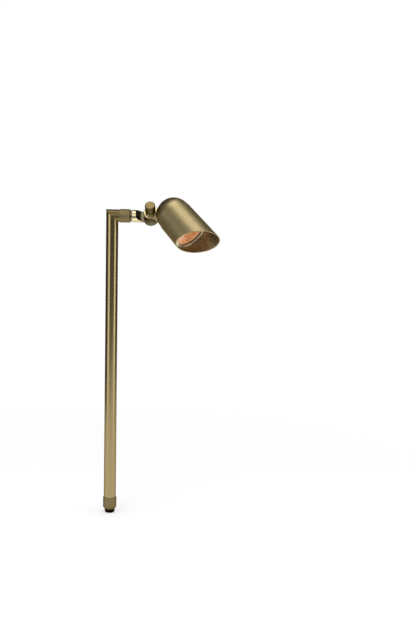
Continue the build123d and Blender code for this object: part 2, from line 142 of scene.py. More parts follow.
# %% [markdown]
# A geometry tree is run once on an empty mesh, and its result is kept as a plain mesh. The
# modifier goes away again, so that the piece is finished before it is given to the frame.

# %% Growing a piece from a geometry tree
def place_mesh(piece, place):
    """Moves the mesh, so that the object itself stays at the origin."""
    piece.data.transform(place)
    piece.data.update()
    return piece


def link_piece(name, mesh):
    piece = bpy.data.objects.new(name, mesh)
    bpy.context.scene.collection.objects.link(piece)
    return piece


def grow(name, tree, place=STEM, smooth_angle=40, **values):
    """Runs a geometry tree with these inputs and keeps the plain mesh."""
    piece = link_piece(name, bpy.data.meshes.new(name))
    modifier = piece.modifiers.new("grow", "NODES")
    modifier.node_group = tree
    for item in tree.interface.items_tree:
        if item.item_type == "SOCKET" and item.in_out == "INPUT" and item.name in values:
            modifier[item.identifier] = values[item.name]
    graph = bpy.context.evaluated_depsgraph_get()
    mesh = bpy.data.meshes.new_from_object(piece.evaluated_get(graph), depsgraph=graph)
    piece.modifiers.clear()
    piece.data = mesh
    shade(mesh, smooth_angle)
    print(name, "faces", len(mesh.polygons))
    return place_mesh(piece, place)


def shade(mesh, smooth_angle):
    """Smooth shading, except over edges sharper than the angle in degrees."""
    mesh.shade_smooth()
    mesh.set_sharp_from_angle(angle=math.radians(smooth_angle))


# %% [markdown]
# Most of the lamp is turned on a lathe. A turned part is drawn as half of its section, as
# (radius, height) corners in millimetres. Real corners are never quite sharp, so each gets a
# small arc first, and the section is then carried round the axis.

# %% Turned parts
TURN_STEPS = 128
ARC_STEPS = 4


def round_corners(points, radius):
    """The outline with each corner replaced by a short curve."""
    result = []
    count = len(points)
    for index, point in enumerate(points):
        here = Vector(point[:2])
        size = point[2] if len(point) > 2 else radius
        before = Vector(points[index - 1][:2]) - here
        after = Vector(points[(index + 1) % count][:2]) - here
        size = min(size, before.length / 2.2, after.length / 2.2)
        if size < 1e-4:
            result.append(here)
            continue
        first = here + before.normalized() * size
        last = here + after.normalized() * size
        for step in range(ARC_STEPS + 1):
            t = step / ARC_STEPS
            result.append(first * (1 - t) ** 2 + here * (2 * t * (1 - t)) + last * t * t)
    return result


def turn(name, points, place, radius=0.25, smooth_angle=30):
    """A closed turned solid from (radius, height) corners in millimetres."""
    outline = round_corners(points, radius)
    work = bmesh.new()
    rings = []
    for step in range(TURN_STEPS):
        angle = 2 * math.pi * step / TURN_STEPS
        spot = [(p.x * MM * math.cos(angle), p.x * MM * math.sin(angle), p.y * MM) for p in outline]
        rings.append([work.verts.new(co) for co in spot])
    for step in range(TURN_STEPS):
        this, following = rings[step], rings[(step + 1) % TURN_STEPS]
        for index in range(len(outline)):
            after = (index + 1) % len(outline)
            work.faces.new((this[index], this[after], following[after], following[index]))
    bmesh.ops.remove_doubles(work, verts=work.verts, dist=1e-7)
    bmesh.ops.dissolve_degenerate(work, edges=work.edges, dist=1e-7)
    bmesh.ops.recalc_face_normals(work, faces=work.faces)
    mesh = bpy.data.meshes.new(name)
    work.to_mesh(mesh)
    work.free()
    shade(mesh, smooth_angle)
    piece = link_piece(name, mesh)
    print(name, "faces", len(mesh.polygons))
    return place_mesh(piece, place)


# %% [markdown]
# ## Camera
# A long lens from about four and a half metres, a little above the lamp and slightly to its
# arm's side. The place, turn and focal length come from the places of a dozen known points in
# the picture, such as the knob's face, the stem's two ends and the tips of the hood's mouth.

# %% The camera
CAMERA_AT = Vector((0.45517, -4.35708, 1.32976))
CAMERA_AZIMUTH = math.radians(3.977)
CAMERA_ELEVATION = math.radians(12.936)
CAMERA_ROLL = math.radians(0.969)
FOCAL_PIXELS = 2856.3
IMAGE_HEIGHT = 624

camera_data = bpy.data.cameras.new("camera")
camera_data.sensor_fit = "VERTICAL"
camera_data.sensor_height = 36
camera_data.lens = FOCAL_PIXELS * camera_data.sensor_height / IMAGE_HEIGHT
camera_data.clip_end = 50
camera = bpy.data.objects.new("camera", camera_data)
bpy.context.scene.collection.objects.link(camera)
towards = Vector((
    math.sin(CAMERA_AZIMUTH) * math.cos(CAMERA_ELEVATION),
    -math.cos(CAMERA_AZIMUTH) * math.cos(CAMERA_ELEVATION),
    math.sin(CAMERA_ELEVATION),
))
level = Vector((math.cos(CAMERA_AZIMUTH), math.sin(CAMERA_AZIMUTH), 0))
camera.matrix_world = frame_of(level, towards, CAMERA_AT) @ Matrix.Rotation(CAMERA_ROLL, 4, "Z")
bpy.context.scene.camera = camera
print("lens", round(camera_data.lens, 1), "mm")

# %% [markdown]
# ## Light
# Brushed brass shows what it reflects. The long light stripe on the barrel is a soft box right
# above it, and the two stripes on the stem are tall soft boxes at its left and right. Between
# them the room is a quiet grey, which gives the brown tones and the dark edges.

# %% Soft boxes
def soft_box(name, at, aim, width, height, power):
    """A rectangular light that points from one place at another."""
    light = bpy.data.lights.new(name, "AREA")
    light.shape = "RECTANGLE"
    light.size, light.size_y = width, height
    light.energy = power
    lamp = bpy.data.objects.new(name, light)
    bpy.context.scene.collection.objects.link(lamp)
    lamp.location = at
    lamp.rotation_euler = (Vector(aim) - Vector(at)).to_track_quat("-Z", "Y").to_euler()
    lamp.visible_camera = False
    return lamp


MIDDLE = (0.05, 0, 0.3)
soft_box("top_box", (0.06, 0.02, 1.55), (0.08, 0, 0.48), 0.9, 0.8, 3.6)
soft_box("high_box", (-0.35, -1.5, 1.5), MIDDLE, 1.5, 1.0, 6.0)
soft_box("left_box", (-1.12, -0.86, 0.35), MIDDLE, 0.85, 1.3, 4.7)
soft_box("right_box", (1.26, -0.56, 0.35), MIDDLE, 0.75, 1.3, 5.0)
soft_box("front_box", (0.3, -2.4, 0.9), MIDDLE, 0.8, 0.6, 1.3)

# %% [markdown]
# The world is white where the camera looks straight at it, and through glass. In the metal it
# is white only behind the lamp, where the backdrop would stand, and a studio grey elsewhere.

# %% The world
ROOM_GREY = 0.09                # what the metal sees of the room
ROOM_LIGHT = 0.45               # what the room gives to matt surfaces
BACKDROP_EDGE = (0.9, 0.985)    # from its soft edge to its full white

world = bpy.data.worlds.new("studio")
bpy.context.scene.world = world
world.use_nodes = True
tree = world.node_tree
tree.nodes.clear()
rays = add(tree, "ShaderNodeLightPath")
seen = calc(tree, "MAXIMUM", rays.outputs["Is Camera Ray"], rays.outputs["Is Transmission Ray"])
direction = add(tree, "ShaderNodeTexCoord").outputs["Generated"]
backwards = vector_calc(tree, "DOT_PRODUCT", direction, (0.0, 1.0, 0.0)).node.outputs["Value"]
backdrop = add(tree, "ShaderNodeMapRange", {
    "Value": backwards, "From Min": BACKDROP_EDGE[0], "From Max": BACKDROP_EDGE[1],
    "To Min": ROOM_GREY, "To Max": 1.0,
}).outputs["Result"]
glossy = calc(tree, "MULTIPLY", rays.outputs["Is Glossy Ray"], backdrop)
other = calc(tree, "SUBTRACT", 1.0, rays.outputs["Is Glossy Ray"])
room = calc(tree, "ADD", glossy, calc(tree, "MULTIPLY", other, ROOM_LIGHT))
strength = calc(tree, "MAXIMUM", seen, room)
shine = add(tree, "ShaderNodeBackground", {"Color": (1, 1, 1, 1), "Strength": strength})
add(tree, "ShaderNodeOutputWorld", {"Surface": shine.outputs[0]})

# %% [markdown]
# The floor is a strip of pale paper under the foot. It is lit as any surface, so it keeps the
# lamp's shadow, and adds a share of its own white to what the camera and the metal see. Further
# out that share rises to all of it, so that no horizon shows. It is no wider than the picture
# needs, as a roll of paper is, and past its sides and its front end the metal shows the darker
# room, which draws the dark lines along both sides of the stem.

# %% The floor
FLOOR_LEFT, FLOOR_RIGHT = -0.6, 0.75
FLOOR_FRONT, FLOOR_BACK = -0.85, 5.0
FLOOR_WHITE = 0.42              # the paper's own share of white near the foot
FLOOR_FADE = (0.2, 0.75)        # distances between which that share rises to all of it

floor_mesh = bpy.data.meshes.new("floor")
work = bmesh.new()
corners = [
    (FLOOR_LEFT, FLOOR_FRONT), (FLOOR_RIGHT, FLOOR_FRONT),
    (FLOOR_RIGHT, FLOOR_BACK), (FLOOR_LEFT, FLOOR_BACK),
]
work.faces.new([work.verts.new((x, y, 0)) for x, y in corners])
work.to_mesh(floor_mesh)
work.free()
floor = link_piece("floor", floor_mesh)
floor.location.z = cad_box[0].z

paper = bpy.data.materials.new("white_paper")
paper.use_nodes = True
tree = paper.node_tree
tree.nodes.clear()
rays = add(tree, "ShaderNodeLightPath")
seen = calc(tree, "MAXIMUM", rays.outputs["Is Camera Ray"], rays.outputs["Is Transmission Ray"])
seen = calc(tree, "MAXIMUM", seen, rays.outputs["Is Glossy Ray"])
place = add(tree, "ShaderNodeTexCoord").outputs["Object"]
distance = vector_calc(tree, "LENGTH", place, (0, 0, 0)).node.outputs["Value"]
fade = add(tree, "ShaderNodeMapRange", {
    "Value": distance, "From Min": FLOOR_FADE[0], "From Max": FLOOR_FADE[1],
}, interpolation_type="SMOOTHSTEP").outputs["Result"]
matt = add(tree, "ShaderNodeBsdfDiffuse", {"Color": (0.8, 0.8, 0.8, 1)})
near_share = calc(tree, "MULTIPLY", seen, FLOOR_WHITE)
near_glow = add(tree, "ShaderNodeEmission", {"Strength": near_share})
near = add(tree, "ShaderNodeAddShader", {0: matt.outputs[0], 1: near_glow.outputs[0]})
far = add(tree, "ShaderNodeEmission", {"Strength": seen})
both = add(tree, "ShaderNodeMixShader", {0: fade, 1: near.outputs[0], 2: far.outputs[0]})
add(tree, "ShaderNodeOutputMaterial", {"Surface": both.outputs[0]})
floor.data.materials.append(paper)
bpy.context.scene.view_settings.view_transform = "Standard"

# %% [markdown]
# ## Brushed and aged brass
# The lamp is brass that was brushed, darkened in a bath and rubbed back. Up close there are
# three scales: fine streaks that follow the brushing, clouds of brown patina, and bare metal on
# the edges. Streaks come from noise that is stretched along the brushing, patina from plain
# noise, and both are one group, since every brass part uses them with values of its own.

# %% The brushed metal group
def make_brushed_group():
    """Colour, roughness and height of a brushed and aged metal."""
    tree, ins, outs = new_group("brushed_metal", "ShaderNodeTree", [
        ("Vector", VECTOR, None), ("Grain", VECTOR, (40, 40, 2500)),
        ("Metal", COLOR, (0.5, 0.4, 0.22, 1)), ("Patina", COLOR, (0.2, 0.14, 0.06, 1)),
        ("Patina Amount", FLOAT, 0.4), ("Cloud Scale", FLOAT, 90.0),
        ("Streaks", FLOAT, 0.35), ("Roughness", FLOAT, 0.34), ("Wear", FLOAT, 0.0),
    ], [("Color", COLOR), ("Roughness", FLOAT), ("Height", FLOAT)])
    stretched = vector_calc(tree, "MULTIPLY", ins["Vector"], ins["Grain"])
    streak = add(tree, "ShaderNodeTexNoise", {
        "Vector": stretched, "Scale": 1.0, "Detail": 5.0, "Roughness": 0.62,
    }).outputs[0]
    cloud = add(tree, "ShaderNodeTexNoise", {
        "Vector": ins["Vector"], "Scale": ins["Cloud Scale"], "Detail": 4.0, "Roughness": 0.6,
    }).outputs[0]
    speck = add(tree, "ShaderNodeTexNoise", {
        "Vector": ins["Vector"], "Scale": 1400.0, "Detail": 2.0,
    }).outputs[0]
    speckled = calc(tree, "MULTIPLY", calc(tree, "SUBTRACT", speck, 0.5), 0.5)
    cloudy = calc(tree, "ADD", cloud, speckled)
    low = calc(tree, "SUBTRACT", 0.85, ins["Patina Amount"])
    aged = add(tree, "ShaderNodeMapRange", {
        "Value": cloudy, "From Min": low, "From Max": calc(tree, "ADD", low, 0.35),
    }).outputs["Result"]
    aged = calc(tree, "MULTIPLY", aged, calc(tree, "SUBTRACT", 1.0, ins["Wear"]))
    tone = add(tree, "ShaderNodeMix", {
        "Factor": aged, "A": ins["Metal"], "B": ins["Patina"],
    }, data_type="RGBA")
    swing = calc(tree, "MULTIPLY", calc(tree, "SUBTRACT", streak, 0.5), ins["Streaks"])
    gain = calc(tree, "ADD", 1.0, calc(tree, "MULTIPLY", swing, 2.0))
    gain = calc(tree, "ADD", gain, calc(tree, "MULTIPLY", ins["Wear"], 0.25))
    tree.links.new(vector_calc(tree, "MULTIPLY", tone.outputs["Result"], gain), outs["Color"])
    rough = calc(tree, "ADD", ins["Roughness"], calc(tree, "MULTIPLY", aged, 0.1))
    rough = calc(tree, "ADD", rough, calc(tree, "MULTIPLY", swing, 0.3))
    tree.links.new(rough, outs["Roughness"])
    tree.links.new(streak, outs["Height"])
    return tree


brushed_metal = make_brushed_group()
print("inputs", len(brushed_metal.interface.items_tree))

# %% [markdown]
# Handling polishes the edges. The Bevel node gives the direction that a surface would have if
# its edges were rounded, and where that differs from the real direction, there is an edge.

# %% The edge group
def make_edge_group():
    """A mask that is 1 along the edges."""
    tree, ins, outs = new_group("edge_wear", "ShaderNodeTree", [
        ("Width", FLOAT, 0.0006), ("Amount", FLOAT, 1.0), ("Vector", VECTOR, None),
    ], [("Mask", FLOAT)])
    real = add(tree, "ShaderNodeNewGeometry").outputs["Normal"]
    soft = add(tree, "ShaderNodeBevel", {"Radius": ins["Width"]}, samples=4).outputs[0]
    same = vector_calc(tree, "DOT_PRODUCT", real, soft).node.outputs["Value"]
    edge = add(tree, "ShaderNodeMapRange", {"Value": same, "From Min": 0.99, "From Max": 0.85})
    rubbed = add(tree, "ShaderNodeTexNoise", {"Vector": ins["Vector"], "Scale": 500.0}).outputs[0]
    mask = calc(tree, "MULTIPLY", edge.outputs["Result"], calc(tree, "ADD", rubbed, 0.3))
    tree.links.new(calc(tree, "MULTIPLY", mask, ins["Amount"]), outs["Mask"])
    return tree


edge_wear = make_edge_group()

# %% [markdown]
# A brass material is those two groups and a Principled shader. The Mapping node turns the
# object's coordinates so that z is the axis of the part, and the grain says which way the
# brush went: fine along z is brushing round the part, and fine across it is lengthwise. The
# tangent runs along the streaks, so that the shader stretches its highlights across them. It is
# worked out in the object's own space, so the brushing stays with a part when its joint turns.

# %% Making a brass
ROUND = (30.0, 30.0, 3800.0)
COARSE_ROUND = (9.0, 9.0, 1300.0)
LENGTHWISE = (3200.0, 3200.0, 14.0)
ACROSS_FLAT = (2600.0, 120.0, 120.0)
PAINTED_SHADE_DEPTH = 0.8                # how much of its tone a place of full painted shade loses
BRASS = (0.44, 0.355, 0.20, 1)
BROWN = (0.15, 0.1, 0.035, 1)


def group_node(tree, group, values):
    return add(tree, "ShaderNodeGroup", values, node_tree=group).outputs


def turned_coordinates(tree, place):
    """Object coordinates with z along a part's own axis."""
    spot = add(tree, "ShaderNodeTexCoord").outputs["Object"]
    return add(tree, "ShaderNodeMapping", {
        "Vector": spot, "Location": place.translation, "Rotation": place.to_euler(),
    }, vector_type="TEXTURE").outputs[0]


def new_material(name):
    material = bpy.data.materials.new(name)
    material.use_nodes = True
    tree = material.node_tree
    return material, tree, tree.nodes["Principled BSDF"]


def make_brass(name, place, grain, metal=BRASS, patina=BROWN, amount=0.3, rough=0.33,
               streaks=0.3, clouds=70.0, edge=0.0007, anisotropic=0.5, face=1.0,
               dark=None):
    """A brushed and aged brass. Its end faces carry a painted highlight: their tone is multiplied
    by the factor face. dark gives a mask that darkens the tone where it is above 0 and lightens
    it where it is below 0; the masks below use it for painted shade and painted highlight."""
    material, tree, shader = new_material(name)
    spot = turned_coordinates(tree, place)
    worn = group_node(tree, edge_wear, {"Width": edge, "Vector": spot})["Mask"]
    metal_out = group_node(tree, brushed_metal, {
        "Vector": spot, "Grain": grain, "Metal": metal, "Patina": patina,
        "Patina Amount": amount, "Cloud Scale": clouds, "Streaks": streaks,
        "Roughness": rough, "Wear": worn,
    })
    axis = place.to_3x3() @ Vector((0, 0, 1))
    normal = add(tree, "ShaderNodeTexCoord").outputs["Normal"]
    along = vector_calc(tree, "DOT_PRODUCT", tuple(axis), normal).node.outputs["Value"]
    # Painted highlight: faces that look along the part's axis have their tone raised by the factor
    # face.
    face_highlight = add(tree, "ShaderNodeMapRange", {
        "Value": along, "From Min": 0.6, "From Max": 0.95, "To Min": 1.0, "To Max": face,
    }).outputs["Result"]
    tone = vector_calc(tree, "MULTIPLY", metal_out["Color"], face_highlight)
    # Painted shade where the mask is above 0, painted highlight where it is below 0.
    if dark:
        kept = calc(tree, "SUBTRACT", 1.0, calc(tree, "MULTIPLY", dark(tree), PAINTED_SHADE_DEPTH))
        tone = vector_calc(tree, "MULTIPLY", tone, kept)
    tree.links.new(tone, shader.inputs["Base Color"])
    tree.links.new(metal_out["Roughness"], shader.inputs["Roughness"])
    relief = add(tree, "ShaderNodeBump", {
        "Height": metal_out["Height"], "Strength": 0.35, "Distance": 0.00002,
    })
    tree.links.new(relief.outputs[0], shader.inputs["Normal"])
    shader.inputs["Metallic"].default_value = 1.0
    shader.inputs["Anisotropic"].default_value = anisotropic
    shader.inputs["Specular Tint"].default_value = (0.1, 0.06, 0.025, 1)
    shader.inputs["Coat Weight"].default_value = 0.03
    shader.inputs["Coat Roughness"].default_value = 0.3
    around = vector_calc(tree, "CROSS_PRODUCT", tuple(axis), normal)
    if grain == LENGTHWISE:
        around = add(tree, "ShaderNodeCombineXYZ", dict(enumerate(axis))).outputs[0]
    tangent = add(tree, "ShaderNodeVectorTransform", {"Vector": around}, vector_type="VECTOR",
                  convert_from="OBJECT", convert_to="WORLD")
    tree.links.new(tangent.outputs[0], shader.inputs["Tangent"])
    return material


# %% [markdown]
# The tubes were brushed lengthwise before they were cut. The head, the collars and the knob
# were brushed while they turned. The knuckle was milled, and its streaks cross the bar.

# %% The brasses
DISC_EDGE = (0.0145, 0.019)     # distances from the knuckle's middle where its painted shade and highlight fade out
BAR_INSIDE = 0.0093             # the milled hollow lies nearer to the bar's axis than this
INNER_WALL = -0.005             # a wall turned inwards by more than this is the hood's inside
# How far painted shade darkens the hood's inside walls.
HOOD_INSIDE_SHADE = 0.35


def knuckle_shade_and_highlight(tree):
    """Painted shade, 1, on the sides of the knuckle's discs and of the cap beside them, and painted
    highlight, -1, on faces that look up the knuckle's axis.
    """
    spot = add(tree, "ShaderNodeTexCoord").outputs["Object"]
    away = vector_calc(tree, "DISTANCE", spot, tuple(knuckle_point)).node.outputs["Value"]
    close = add(tree, "ShaderNodeMapRange", {
        "Value": away, "From Min": DISC_EDGE[0], "From Max": DISC_EDGE[1],
        "To Min": 1.0, "To Max": 0.0,
    }).outputs["Result"]
    normal = add(tree, "ShaderNodeTexCoord").outputs["Normal"]
    upward = vector_calc(tree, "DOT_PRODUCT", tuple(knuckle_axis), normal).node.outputs["Value"]
    side = add(tree, "ShaderNodeMapRange", {
        "Value": upward, "From Min": 0.3, "From Max": 0.75, "To Min": 1.0, "To Max": -1.0,
    }).outputs["Result"]
    return calc(tree, "MULTIPLY", close, side)


def milled_hollow_and_knuckle_shade(tree):
    """Darker, 1, in the milled hollow, which lies inside the bar's round, together with the
    knuckle's painted shade and highlight.
    """
    spot = turned_coordinates(tree, ARM)
    flat = vector_calc(tree, "MULTIPLY", spot, (1, 1, 0))
    away = vector_calc(tree, "LENGTH", flat, (0, 0, 0)).node.outputs["Value"]
    inside = calc(tree, "LESS_THAN", away, BAR_INSIDE)
    return calc(tree, "MAXIMUM", inside, knuckle_shade_and_highlight(tree))


def hood_inside_shade(tree):
    """Above 0 on the walls that face the head's axis: painted shade on the hood's inside."""
    texture = add(tree, "ShaderNodeTexCoord")
    normal = texture.outputs["Normal"]
    away = vector_calc(tree, "SUBTRACT", texture.outputs["Object"], tuple(dome_centre))

    def dot(first, second):
        return vector_calc(tree, "DOT_PRODUCT", first, second).node.outputs["Value"]

    lengthwise = calc(tree, "MULTIPLY", dot(normal, tuple(head_axis)), dot(away, tuple(head_axis)))
    outward = calc(tree, "SUBTRACT", dot(normal, away), lengthwise)
    return calc(tree, "MULTIPLY", calc(tree, "LESS_THAN", outward, INNER_WALL), HOOD_INSIDE_SHADE)


stem_brass = make_brass("stem_brass", STEM, LENGTHWISE, metal=(0.4, 0.31, 0.15, 1),
                        amount=0.1, rough=0.22, streaks=0.14)
arm_brass = make_brass("arm_brass", ARM, LENGTHWISE, metal=(0.25, 0.185, 0.078, 1), amount=0.3,
                       rough=0.42, streaks=0.15)
collar_brass = make_brass("collar_brass", STEM, ROUND, metal=(0.22, 0.168, 0.078, 1))
arm_collar_brass = make_brass("arm_collar_brass", ARM, ROUND, metal=(0.32, 0.245, 0.115, 1),
                              rough=0.52)
# The knuckle gets painted shade on the sides of its discs and a painted highlight on their upward
# faces, and is darker in its milled hollow.
knuckle_brass = make_brass("knuckle_brass", KNUCKLE, ACROSS_FLAT, metal=(0.95, 0.8, 0.5, 1),
                           amount=0.12, rough=0.3, dark=milled_hollow_and_knuckle_shade)
# The knob's face gets a painted highlight, nearly twice the tone of its sides.
knob_brass = make_brass("knob_brass", KNUCKLE, ROUND, metal=(0.14, 0.105, 0.043, 1), face=1.95)
# Beside the knuckle the cap gets painted shade, and a painted highlight on faces that look up the
# knuckle's axis.
cap_brass = make_brass("cap_brass", HEAD, COARSE_ROUND, metal=(0.56, 0.45, 0.235, 1),
                       amount=0.15, rough=0.4, streaks=0.5, dark=knuckle_shade_and_highlight)
# The hood's inside walls are darkened by painted shade.
hood_brass = make_brass("hood_brass", HEAD, COARSE_ROUND, metal=(0.53, 0.425, 0.222, 1),
                        amount=0.2, rough=0.42, streaks=0.5, dark=hood_inside_shade)
ring_brass = make_brass("ring_brass", HEAD, ROUND, metal=(0.95, 0.84, 0.62, 1), amount=0.05,
                        rough=0.35)
thread_brass = make_brass("thread_brass", STEM, ROUND, metal=(0.05, 0.033, 0.014, 1),
                          patina=(0.02, 0.014, 0.008, 1), amount=0.5, rough=0.5)
bead_brass = make_brass("bead_brass", STEM, (60.0, 60.0, 60.0), metal=(0.3, 0.24, 0.13, 1),
                        amount=0.5, rough=0.42, anisotropic=0.0)

# %% [markdown]
# What isn't brass is plainer, but none of it is one flat colour. A mottled group gives each a
# fine change of tone and roughness: moulding marks on rubber, a dry glaze on ceramic, and the
# turning marks on zinc-plated steel.

# %% Rubber, ceramic and steel
def make_mottled_group():
    """A tone that drifts over a surface, with its roughness and height."""
    tree, ins, outs = new_group("mottled", "ShaderNodeTree", [
        ("Vector", VECTOR, None), ("Base", COLOR, (0.5, 0.5, 0.5, 1)), ("Scale", FLOAT, 400.0),
        ("Change", FLOAT, 0.3), ("Roughness", FLOAT, 0.5),
    ], [("Color", COLOR), ("Roughness", FLOAT), ("Height", FLOAT)])
    spots = add(tree, "ShaderNodeTexNoise", {
        "Vector": ins["Vector"], "Scale": ins["Scale"], "Detail": 5.0,
    }).outputs[0]
    swing = calc(tree, "MULTIPLY", calc(tree, "SUBTRACT", spots, 0.5), ins["Change"])
    gain = calc(tree, "ADD", 1.0, calc(tree, "MULTIPLY", swing, 2.0))
    tree.links.new(vector_calc(tree, "MULTIPLY", ins["Base"], gain), outs["Color"])
    tree.links.new(calc(tree, "ADD", ins["Roughness"], swing), outs["Roughness"])
    tree.links.new(spots, outs["Height"])
    return tree


mottled = make_mottled_group()


def make_plain(name, base, rough, metallic=0.0, scale=400.0, change=0.3):
    """A material with a drifting tone, in object coordinates."""
    material, tree, shader = new_material(name)
    spot = add(tree, "ShaderNodeTexCoord").outputs["Object"]
    out = group_node(tree, mottled, {
        "Vector": spot, "Base": base, "Roughness": rough, "Scale": scale, "Change": change,
    })
    tree.links.new(out["Color"], shader.inputs["Base Color"])
    tree.links.new(out["Roughness"], shader.inputs["Roughness"])
    relief = add(tree, "ShaderNodeBump", {"Height": out["Height"], "Distance": 0.00002})
    tree.links.new(relief.outputs[0], shader.inputs["Normal"])
    shader.inputs["Metallic"].default_value = metallic
    return material


rubber = make_plain("black_rubber", (0.018, 0.018, 0.019, 1), 0.7, scale=900.0)
gasket = make_plain("silicone", (0.8, 0.72, 0.6, 1), 0.55, scale=700.0)
ceramic = make_plain("ceramic", (0.78, 0.75, 0.69, 1), 0.45, scale=500.0, change=0.12)
steel = make_plain("zinc_steel", (0.56, 0.56, 0.57, 1), 0.3, metallic=1.0, scale=1200.0)
pin_steel = make_plain("pin_steel", (0.62, 0.6, 0.56, 1), 0.25, metallic=1.0, scale=1500.0)

# %% [markdown]
# Both glasses let the light through to the lamp. Cycles would keep them in full shadow, since
# it doesn't follow light through a pane, so a shadow ray passes them as if they were clear.

# %% Glass
def make_glass(name, tint, rough):
    material, tree, shader = new_material(name)
    spot = add(tree, "ShaderNodeTexCoord").outputs["Object"]
    out = group_node(tree, mottled, {
        "Vector": spot, "Base": tint, "Roughness": rough, "Scale": 60.0, "Change": 0.04,
    })
    tree.links.new(out["Color"], shader.inputs["Base Color"])
    tree.links.new(out["Roughness"], shader.inputs["Roughness"])
    shader.inputs["Transmission Weight"].default_value = 1.0
    shader.inputs["IOR"].default_value = 1.46
    clear = add(tree, "ShaderNodeBsdfTransparent")
    shadow = add(tree, "ShaderNodeLightPath").outputs["Is Shadow Ray"]
    both = add(tree, "ShaderNodeMixShader", {0: shadow, 1: shader.outputs[0], 2: clear.outputs[0]})
    tree.links.new(both.outputs[0], tree.nodes["Material Output"].inputs["Surface"])
    return material


lens_glass = make_glass("lens_glass", (0.99, 0.99, 0.98, 1), 0.0)
quartz = make_glass("quartz", (0.98, 0.98, 0.98, 1), 0.05)

# %% [markdown]
# The reflector has a dichroic coat, which throws warm light forwards. It goes from deep orange
# to peach with the angle it is seen from, which Layer Weight gives, and in soft bands. The bowl
# gathers daylight over many bounces, more than the render follows, and a faint glow of its own
# stands for them. The glow is left out of reflections, so the brass doesn't turn orange.

# %% The dichroic coat
dichroic, tree, shader = new_material("dichroic")
spot = add(tree, "ShaderNodeTexCoord").outputs["Object"]
facing = add(tree, "ShaderNodeLayerWeight", {"Blend": 0.4}).outputs["Facing"]
stretched = vector_calc(tree, "MULTIPLY", spot, (60.0, 420.0, 120.0))
bands = add(tree, "ShaderNodeTexNoise", {"Vector": stretched, "Scale": 1.0}).outputs[0]
bands = add(tree, "ShaderNodeMapRange", {
    "Value": bands, "From Min": 0.42, "From Max": 0.66,
}).outputs["Result"]
paler = calc(tree, "MAXIMUM", calc(tree, "MULTIPLY", facing, 0.6), bands)
coat_tone = add(tree, "ShaderNodeMix", {
    "Factor": paler, "A": (0.82, 0.3, 0.085, 1), "B": (1.0, 0.72, 0.48, 1),
}, data_type="RGBA").outputs["Result"]
out = group_node(tree, mottled, {
    "Vector": spot, "Base": coat_tone, "Roughness": 0.3, "Scale": 250.0, "Change": 0.1,
})
tree.links.new(out["Color"], shader.inputs["Base Color"])
tree.links.new(out["Roughness"], shader.inputs["Roughness"])
shader.inputs["Metallic"].default_value = 0.1
shader.inputs["Coat Weight"].default_value = 0.3
tree.links.new(out["Color"], shader.inputs["Emission Color"])
mirrored = add(tree, "ShaderNodeLightPath").outputs["Glossy Depth"]
glow = calc(tree, "MULTIPLY", calc(tree, "LESS_THAN", mirrored, 0.5), 0.24)
tree.links.new(glow, shader.inputs["Emission Strength"])

tungsten = make_plain("tungsten", (0.25, 0.24, 0.23, 1), 0.4, metallic=1.0, scale=3000.0)

# %% [markdown]
# ## The thread
# The foot has a cut M16 thread with 1.5 mm pitch. A thread is a profile carried along a helix,
# so a geometry tree sweeps one, and its height grows from nothing at both ends, where the die
# ran on and off. The core inside it is turned.

# %% The thread
THREAD_PITCH = 1.5
THREAD_CREST = 7.95
THREAD_ROOT = 7.1


def make_thread_tree():
    tree, ins, outs = new_group("thread", "GeometryNodeTree", [
        ("Turns", FLOAT, 3.0), ("Pitch", FLOAT, THREAD_PITCH * MM),
        ("Root", FLOAT, THREAD_ROOT * MM), ("Depth", FLOAT, (THREAD_CREST - THREAD_ROOT) * MM),
        ("Material", MATERIAL, None),
    ], [("Geometry", GEOMETRY)])
    helix = add(tree, "GeometryNodeCurveSpiral", {
        "Resolution": 72, "Rotations": ins["Turns"], "Start Radius": ins["Root"],
        "End Radius": ins["Root"], "Height": calc(tree, "MULTIPLY", ins["Turns"], ins["Pitch"]),
    }).outputs[0]
    steady = add(tree, "GeometryNodeSetCurveNormal", {"Curve": helix}, mode="Z_UP").outputs[0]
    along = add(tree, "GeometryNodeSplineParameter").outputs["Factor"]
    near_end = calc(tree, "MINIMUM", along, calc(tree, "SUBTRACT", 1.0, along))
    growth = add(tree, "ShaderNodeMapRange", {
        "Value": near_end, "From Min": 0.0, "From Max": 0.12, "To Min": 0.02, "To Max": 1.0,
    }).outputs["Result"]
    profile = add(tree, "GeometryNodeCurvePrimitiveCircle", {
        "Resolution": 4, "Radius": ins["Depth"],
    }).outputs[0]
    ridge = add(tree, "GeometryNodeCurveToMesh", {
        "Curve": steady, "Profile Curve": profile, "Scale": growth, "Fill Caps": True,
    }).outputs[0]
    real = add(tree, "GeometryNodeRealizeInstances", {"Geometry": ridge}).outputs[0]
    done = add(tree, "GeometryNodeSetMaterial", {"Geometry": real, "Material": ins["Material"]})
    tree.links.new(done.outputs[0], outs["Geometry"])
    return tree


THREAD_TURNS = 2.9
THREAD_LOW = -5.0
thread_place = Matrix.Translation((0, 0, THREAD_LOW * MM))
thread = grow("base_thread", make_thread_tree(), thread_place, 25, Turns=THREAD_TURNS,
              Material=thread_brass)
core = turn("base_nipple_core", [
    (4.75, -6), (6.7, -6), (THREAD_ROOT, -5.5), (THREAD_ROOT, -0.3), (7.3, 0), (7.3, 9), (4.75, 9),
], STEM, radius=0.2)
core.data.materials.append(thread_brass)
for piece in (thread, core):
    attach(piece, "stem")
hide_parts("base_nipple")

# %% [markdown]
# ## The solder at the mitre
# Stem and arm meet in a mitre, and the solder leaves a small bead along it. The seam is the
# ellipse where the two tubes meet, so a geometry tree bends a circle into it and sweeps a
# small round along it, fuller in the inner corner, where the solder gathers.

# %% The solder bead
TUBE_RADIUS = 9.525
BEAD = 0.3


